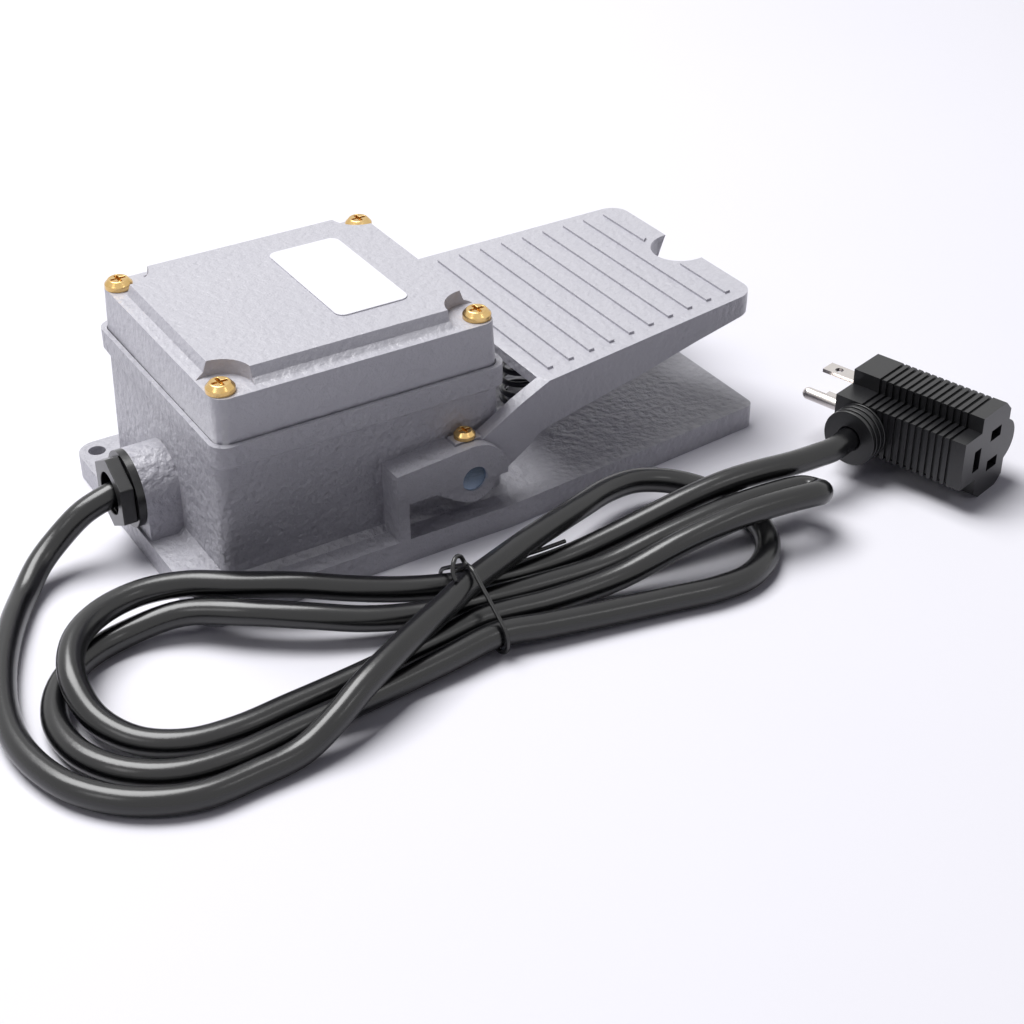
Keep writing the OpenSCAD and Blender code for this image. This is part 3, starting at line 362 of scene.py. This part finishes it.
def tube(name: str, points: Iterable[Vector], radius: float, roundness: int,
         material: bpy.types.Material) -> bpy.types.Object:
    """Makes a round wire along points.

    Args:
        name: The object's name.
        points: The centreline in millimetres.
        radius: The wire's radius in millimetres.
        roundness: How finely its section is cut.
        material: Its material.

    Returns:
        The curve object.
    """
    route = [p * MM for p in points]
    data = bpy.data.curves.new(name, "CURVE")
    data.dimensions = "3D"
    data.bevel_depth = radius * MM
    data.bevel_resolution = roundness
    data.use_fill_caps = True
    spline = data.splines.new("POLY")
    spline.points.add(len(route) - 1)
    for target, point in zip(spline.points, route):
        target.co = (*point, 1.0)
    data.materials.append(material)
    return add_object(name, data)


def solidify_curve(curve: bpy.types.Object) -> bpy.types.Object:
    """Turns a wire into a mesh of the same name, for a piece that has to shorten.

    Args:
        curve: The wire.

    Returns:
        The mesh object that takes its place.
    """
    name = curve.name
    curve.name = name + "_curve"
    seen = curve.evaluated_get(bpy.context.evaluated_depsgraph_get())
    mesh = bpy.data.meshes.new_from_object(seen)
    bpy.data.objects.remove(curve)
    for face in mesh.polygons:
        face.use_smooth = True
    return add_object(name, mesh)


@dataclass(frozen=True)
class HalfTurn:
    """One half turn of the bundle: the arc at its far end, how far its run back to the waist bows
    to -Y, and the height of each of its points after the first. Lengths are in millimetres."""

    x: float
    y: float
    radius: float
    steps: int
    bow: float
    heights: tuple[float, ...]


@dataclass
class Cord:
    """The one unbroken cord: lead, bundled half turns and plug lead, on the route of the CAD.

    Lengths are in millimetres.
    """

    radius: float = 4.5
    roundness: int = 8
    gland_mouth: Point = (-121.8, 0, 23.4)
    waist_x: float = -37.5
    lead: tuple[Point, ...] = (
        (-113.5, 0, 24.4), (-118, 0, 24.2), (-123, 0, 23.2), (-132, 0, 20), (-142, -1, 13.5),
        (-151, -5, 8.5), (-160, -14, 4.7), (-168, -26, 4.6), (-175, -39, 4.6), (-181, -53, 4.6),
        (-186, -70, 4.6), (-188, -86, 4.6), (-186, -102, 4.6), (-180, -117, 4.6),
        (-168, -130, 4.6), (-151, -138, 4.6), (-132, -138, 4.6), (-116, -137, 5.8),
        (-103, -134, 10.6), (-91, -129, 14.6), (-78, -123, 16.4), (-64, -116, 16.9),
        (-50, -109, 16.9))
    tail: tuple[Point, ...] = (
        (-27, -90.6, 6.2), (-17, -91.8, 5), (-7, -92.6, 4.7), (8, -93, 5), (24, -94, 7.6),
        (40, -95.8, 11.6), (55, -97.8, 15.6), (70, -99.6, 18.2), (84, -101.2, 18.8),
        (97, -102.4, 18.4), (109, -102.4, 18), (116, -102.3, 18), (127, -99.1, 18))
    half_turns: tuple[HalfTurn, ...] = (
        HalfTurn(46, -105, 31, 8, 0, (17.2, 17, 16.2, 15.2, 13.8, 12, 9.4, 6.8, 5.2, 4.7, 4.7,
                                      4.7, 4.9, 5, 5.2, 5.6, 6.2)),
        HalfTurn(-138, -91, 37.2, 8, 9, (6.2, 5.4, 4.8, 4.7, 4.7, 4.7, 4.7, 4.7, 4.7, 4.7, 4.7,
                                         5.6, 9, 11.5, 11, 8.6, 7)),
        HalfTurn(91.5, -117, 5.4, 6, 0, (5.6, 5.8, 11, 14.6, 14.6, 14.4, 14.4, 15, 16.4, 17.6,
                                         18.4, 18.6, 14.6, 7.6, 5.8)),
        HalfTurn(-131, -82, 34.7, 8, 4, (6.2, 5.4, 4.8, 4.7, 4.7, 4.7, 5, 7.6, 12.8, 14.6, 14.6,
                                         14.6, 14.6, 14.4, 13.8, 11, 8.4)))
    # Where each pass of the cord crosses the waist: Y and Z
    waist: tuple[tuple[float, float], ...] = (
        (-102.8, 17), (-120.2, 7), (-100.6, 7), (-110.4, 7), (-88.6, 7))
    shares: tuple[float, ...] = (0.2, 0.4, 0.6, 0.8)
    steps: int = 6

    @staticmethod
    def _touch(centre: Vector, radius: float, start: Vector, side: int) -> float:
        """Returns the angle at which a line from start touches the circle."""
        gap = start - centre
        return math.atan2(gap.y, gap.x) + side * math.acos(radius / gap.length)

    def _half_turn(self, index: int) -> list[Vector]:
        """Lays out one half turn, from one pass of the waist to just before the next.

        Args:
            index: Which half turn, from 0.

        Returns:
            Its points in millimetres.
        """
        turn = self.half_turns[index]
        centre = Vector((turn.x, turn.y))
        (y0, z0), (y1, _) = self.waist[index], self.waist[index + 1]
        begin, back = Vector((self.waist_x, y0)), Vector((self.waist_x, y1))
        a0 = self._touch(centre, turn.radius, begin, -1)
        a1 = self._touch(centre, turn.radius, back, 1)
        sweep = a1 - a0 - (2 * math.pi if a1 > a0 else 0)
        angles = [a0 + sweep * i / turn.steps for i in range(turn.steps + 1)]
        arc = [centre + turn.radius * Vector((math.cos(a), math.sin(a))) for a in angles]
        plan = [begin.lerp(arc[0], s) for s in self.shares] + arc
        plan += [back.lerp(arc[-1], s) - Vector((0, turn.bow * math.sin(math.pi * s)))
                 for s in reversed(self.shares)]
        return [Vector((*begin, z0))] + [Vector((*p, z)) for p, z in zip(plan, turn.heights)]

    def _route(self) -> list[Vector]:
        """Joins the lead, the half turns and the plug lead.

        Returns:
            The whole centreline in millimetres.
        """
        points = [Vector(p) for p in self.lead]
        for index in range(len(self.half_turns)):
            points += self._half_turn(index)
        points.append(Vector((self.waist_x, *self.waist[-1])))
        points += [Vector(p) for p in self.tail]
        return smooth(points, self.steps)

    def build(self, paints: Paintshop) -> None:
        """Args:
            paints: The materials.
        """
        route = self._route()
        cord = tube("cord", route, self.radius, self.roundness, paints.get(Slot.BLACK_PVC))
        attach(cord, "base")
        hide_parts("cord_lead", "cord_hank", "cord_tail")


@dataclass
class Tie:
    """The thin wire tie round the bundle, with its arch and its tail, in millimetres."""

    radius: float = 0.75
    roundness: int = 4
    steps: int = 4
    clear: float = 6.2
    samples: int = 48
    start_angle: float = 75.0
    arch: tuple[Point, ...] = (
        (-37.8, -99.5, 23.4), (-39, -99.5, 26), (-41.4, -100.6, 27.4), (-43.6, -102.4, 26.4),
        (-44.6, -104, 23.8), (-44.4, -105.4, 22))
    tail: tuple[Point, ...] = (
        (9.3, -88, 8), (-2.2, -88, 8), (-14, -88.5, 9), (-26, -90, 11.8), (-36.4, -90.8, 14))

    def build(self, cord: Cord, paints: Paintshop) -> None:
        """Makes the tie as one wire.

        Args:
            cord: The cord that it holds.
            paints: The materials.
        """
        strands = [Vector(p) for p in cord.waist]
        ring = []
        for i in range(self.samples + 1):
            angle = math.radians(self.start_angle - 360 * i / self.samples)
            way = Vector((math.cos(angle), math.sin(angle)))
            spot = max(strands, key=way.dot) + self.clear * way
            ring.append(Vector((cord.waist_x, spot.x, max(spot.y, self.radius))))
        points = [Vector(p) for p in self.tail] + ring + [Vector(p) for p in self.arch]
        tie = tube("cord_tie_wire", smooth(points, self.steps), self.radius, self.roundness,
                   paints.get(Slot.BLACK_PVC))
        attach(tie, "base")
        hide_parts("cord_tie")
        LOG.info("tie wire: %d points", len(points))


@dataclass
class Spring:
    """The return spring, with closed coils at both ends.

    Lengths are in millimetres. Travel, how much shorter the pedal makes it, is not used.
    """

    axis_x: float = 46.5
    diameter: float = 18.0
    wire: float = 2.2
    roundness: int = 3
    turns: int = 8
    steps: int = 28
    # The pitch of a closed coil, in thicknesses of the wire
    closed_pitch: float = 1.06
    travel: float = 10.8

    def _lift(self, turn: float, rise: float) -> float:
        """Finds how far up the wire is.

        Args:
            turn: The turns from its lower end.
            rise: How far up its upper end is, in millimetres.

        Returns:
            The height above its lower end, in millimetres.
        """
        closed = self.wire * self.closed_pitch
        if turn < 1:
            return closed * turn
        if turn > self.turns - 1:
            return rise - closed * (self.turns - turn)
        return closed + (rise - 2 * closed) * (turn - 1) / (self.turns - 2)

    def build(self, paints: Paintshop) -> None:
        """Makes the coil inside the box of its CAD node.

        Args:
            paints: The materials.
        """
        low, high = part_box("return_spring")
        rise = (high[2] - low[2]) / MM - self.wire
        radius = (self.diameter - self.wire) / 2
        points = []
        for i in range(self.turns * self.steps + 1):
            turn = i / self.steps
            angle = 2 * math.pi * turn
            points.append(Vector((self.axis_x + radius * math.cos(angle),
                                  radius * math.sin(angle),
                                  low[2] / MM + self.wire / 2 + self._lift(turn, rise))))
        coil = solidify_curve(tube("return_spring_coil", points, self.wire / 2, self.roundness,
                                   paints.get(Slot.BLACK_STEEL)))
        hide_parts("return_spring")
        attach(coil, "base")
        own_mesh(coil)
        LOG.info("return spring: %d turns", self.turns)


@dataclass(frozen=True)
class Softening:
    """How one CAD node's sharp edges are rounded in a copy of it, in millimetres and degrees."""

    node: str
    name: str
    body: str
    slot: Slot
    radius: float
    angle: float = 32.0
    segments: int = 3
    merge_flats: bool = True


SOFTENINGS = (
    Softening("base_casting", "base_shell", "base", Slot.CASTING_PAINT, 1.2),
    Softening("box_cover", "cover_shell", "base", Slot.COVER_PAINT, 1.4),
    # Merging flats breaks those faces of the pedal that have many holes in them
    Softening("pedal", "pedal_casting", "pedal", Slot.COVER_PAINT, 0.7, merge_flats=False),
    Softening("label_plate", "label_blank", "base", Slot.LABEL, 0.2, segments=2),
    Softening("cover_screws", "cover_screw_set", "base", Slot.YELLOW_ZINC, 0.25, segments=2),
    Softening("shaft_lock_screws", "lock_screw_set", "pedal", Slot.YELLOW_ZINC, 0.25, segments=2),
    Softening("gland_nut", "gland_cap", "base", Slot.BLACK_PLASTIC, 0.6),
    Softening("plug_body", "plug_shell", "base", Slot.PLUG_PVC, 0.9),
    Softening("plug_collar", "plug_strain_collar", "base", Slot.PLUG_PVC, 0.3, segments=2),
)


@dataclass
class Hardware:
    """The rigid pieces: softened copies where edges show, the CAD's own meshes elsewhere.

    The angle below which faces merge is in degrees, and the gap that is welded in metres.
    """

    nodes: dict[str, bpy.types.Object]
    record: dict[str, Any]
    flat_angle: float = 0.6
    weld_gap: float = 2e-6

    def _clean_copy(self, plan: Softening) -> bpy.types.Mesh:
        """Copies a node's mesh, with its doubled points and split flats merged.

        Args:
            plan: Which node, and whether its flats are merged.

        Returns:
            The copy.
        """
        shape = bmesh.new()
        shape.from_mesh(self.nodes[plan.node].data)
        bmesh.ops.remove_doubles(shape, verts=shape.verts, dist=self.weld_gap)
        if plan.merge_flats:
            bmesh.ops.dissolve_limit(shape, angle_limit=math.radians(self.flat_angle),
                                     verts=shape.verts, edges=shape.edges)
        mesh = bpy.data.meshes.new(plan.name)
        shape.to_mesh(mesh)
        shape.free()
        for face in mesh.polygons:
            face.use_smooth = True
        return mesh

    def _soften(self, plan: Softening, material: bpy.types.Material) -> None:
        """Rounds the edges of a node in a copy that takes its place.

        Args:
            plan: What to round and by how much.
            material: The copy's material.
        """
        mesh = self._clean_copy(plan)
        mesh.materials.clear()
        mesh.materials.append(material)
        obj = add_object(plan.name, mesh)
        bevel = obj.modifiers.new("rounded edges", "BEVEL")
        bevel.width = plan.radius * MM
        bevel.segments = plan.segments
        bevel.limit_method = "ANGLE"
        bevel.angle_limit = math.radians(plan.angle)
        bevel.miter_outer = "MITER_ARC"
        obj.modifiers.new("even shading", "WEIGHTED_NORMAL").keep_sharp = True
        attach(obj, plan.body)
        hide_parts(plan.node)

    def build(self, paints: Paintshop) -> None:
        """Softens what shows and paints every CAD node.

        Args:
            paints: The materials.
        """
        for plan in SOFTENINGS:
            self._soften(plan, paints.get(plan.slot))
            LOG.info("softened %s", plan.node)
        for row in self.record["subparts"]:
            for slot in self.nodes[row["node"]].material_slots:
                slot.material = paints.get(Slot(row["material_slot"]))


@dataclass(frozen=True)
class Softbox:
    """One square lamp, with lengths in metres and power in watts."""

    name: str
    place: Point
    target: Point
    size: float
    power: float

    def build(self) -> None:
        """Hangs the lamp, turned to its target."""
        data = bpy.data.lights.new(self.name, "AREA")
        data.size = self.size
        data.energy = self.power
        aim = (Vector(self.target) - Vector(self.place)).to_track_quat("-Z", "Y")
        lamp = add_object(self.name, data)
        lamp.matrix_world = Matrix.Translation(self.place) @ aim.to_matrix().to_4x4()


@dataclass
class Studio:
    """Camera, lamps, floor and backdrop, matched to the photograph, in metres and degrees."""

    camera_at: Point = (-0.28527, -0.53506, 0.37426)
    azimuth: float = -31.408
    elevation: float = 33.49
    roll: float = -0.318
    lens: float = 65.5
    floor_half: float = 1.1
    floor_colour: str = "#EDECF2"
    floor_tint: str = "#EBEAF1"
    floor_cloud: float = 5.0
    floor_roughness: float = 0.6
    floor_shine: float = 0.2
    fill_colour: str = "#DEDBF6"
    fill_strength: float = 0.08
    backdrop_strength: float = 1.0
    lamps: tuple[Softbox, ...] = (
        Softbox("overhead softbox", (-0.35, 0.75, 2.1), (0, -0.02, 0), 1.5, 68.0),
        Softbox("left softbox", (-1.2, -0.3, 1.1), (0, 0, 0.03), 0.4, 1.4),
        Softbox("front strip", (0.5, -1.1, 1.3), (0, 0, 0.03), 0.25, 0.8),
    )

    def build(self) -> None:
        """Sets up the whole studio."""
        self._camera()
        self._floor()
        self._world()
        for lamp in self.lamps:
            lamp.build()
        bpy.context.scene.view_settings.view_transform = "Standard"

    def _camera(self) -> None:
        """Places the camera by its solved position and angles."""
        turn, tilt, roll = (math.radians(v) for v in (self.azimuth, self.elevation, self.roll))
        back = Vector((math.sin(turn) * math.cos(tilt), -math.cos(turn) * math.cos(tilt),
                       math.sin(tilt)))
        side = Vector((0, 0, 1)).cross(back).normalized()
        rise = back.cross(side)
        right = math.cos(roll) * side + math.sin(roll) * rise
        top = math.cos(roll) * rise - math.sin(roll) * side
        view = Matrix((right, top, back)).transposed().to_4x4()
        data = bpy.data.cameras.new("camera")
        data.lens = self.lens
        camera = add_object("camera", data)
        camera.matrix_world = Matrix.Translation(self.camera_at) @ view
        bpy.context.scene.camera = camera

    def _floor(self) -> None:
        """Lays the pale paper floor."""
        far = self.floor_half
        mesh = bpy.data.meshes.new("floor")
        mesh.from_pydata([(-far, -far, 0), (far, -far, 0), (far, far, 0), (-far, far, 0)], [],
                         [(0, 1, 2, 3)])
        floor = add_object("floor", mesh)
        material = bpy.data.materials.new("lavender_white_paper")
        tree = blank_tree(material)
        place = add_node(tree, "ShaderNodeTexCoord").outputs["Object"]
        cloud = add_node(tree, "ShaderNodeTexNoise", {"Scale": self.floor_cloud},
                         {"Vector": place})
        colour = add_node(tree, "ShaderNodeMix",
                          {".data_type": "RGBA", MIX_FIRST: linear(self.floor_colour),
                           MIX_SECOND: linear(self.floor_tint)}, {0: cloud.outputs["Fac"]})
        shader = add_node(tree, "ShaderNodeBsdfPrincipled",
                          {"Roughness": self.floor_roughness,
                           "Specular IOR Level": self.floor_shine},
                          {"Base Color": colour.outputs[MIX_RESULT]})
        add_node(tree, "ShaderNodeOutputMaterial", links={"Surface": shader.outputs["BSDF"]})
        mesh.materials.append(material)

    def _world(self) -> None:
        """Lights evenly all round, and shows white to the camera, to glass and in reflections."""
        world = bpy.data.worlds.new("studio")
        bpy.context.scene.world = world
        tree = blank_tree(world)
        path = add_node(tree, "ShaderNodeLightPath")
        seen = path.outputs["Is Camera Ray"]
        for kind in ("Is Transmission Ray", "Is Glossy Ray"):
            seen = add_node(tree, "ShaderNodeMath", {".operation": "MAXIMUM"},
                            {0: seen, 1: path.outputs[kind]}).outputs[0]
        fill = add_node(tree, "ShaderNodeBackground",
                        {"Color": linear(self.fill_colour), "Strength": self.fill_strength})
        white = add_node(tree, "ShaderNodeBackground",
                         {"Color": (1, 1, 1, 1), "Strength": self.backdrop_strength})
        mix = add_node(tree, "ShaderNodeMixShader",
                       links={0: seen, 1: fill.outputs[0], 2: white.outputs[0]})
        add_node(tree, "ShaderNodeOutputWorld", links={"Surface": mix.outputs[0]})


def main() -> None:
    """Builds the scene."""
    logging.basicConfig(level=logging.INFO)
    paints = Paintshop()
    Studio().build()
    Hardware(frame["nodes"], frame["record"]).build(paints)
    cord = Cord()
    Tie().build(cord, paints)
    cord.build(paints)
    Spring().build(paints)


if __name__ == "__main__":
    main()
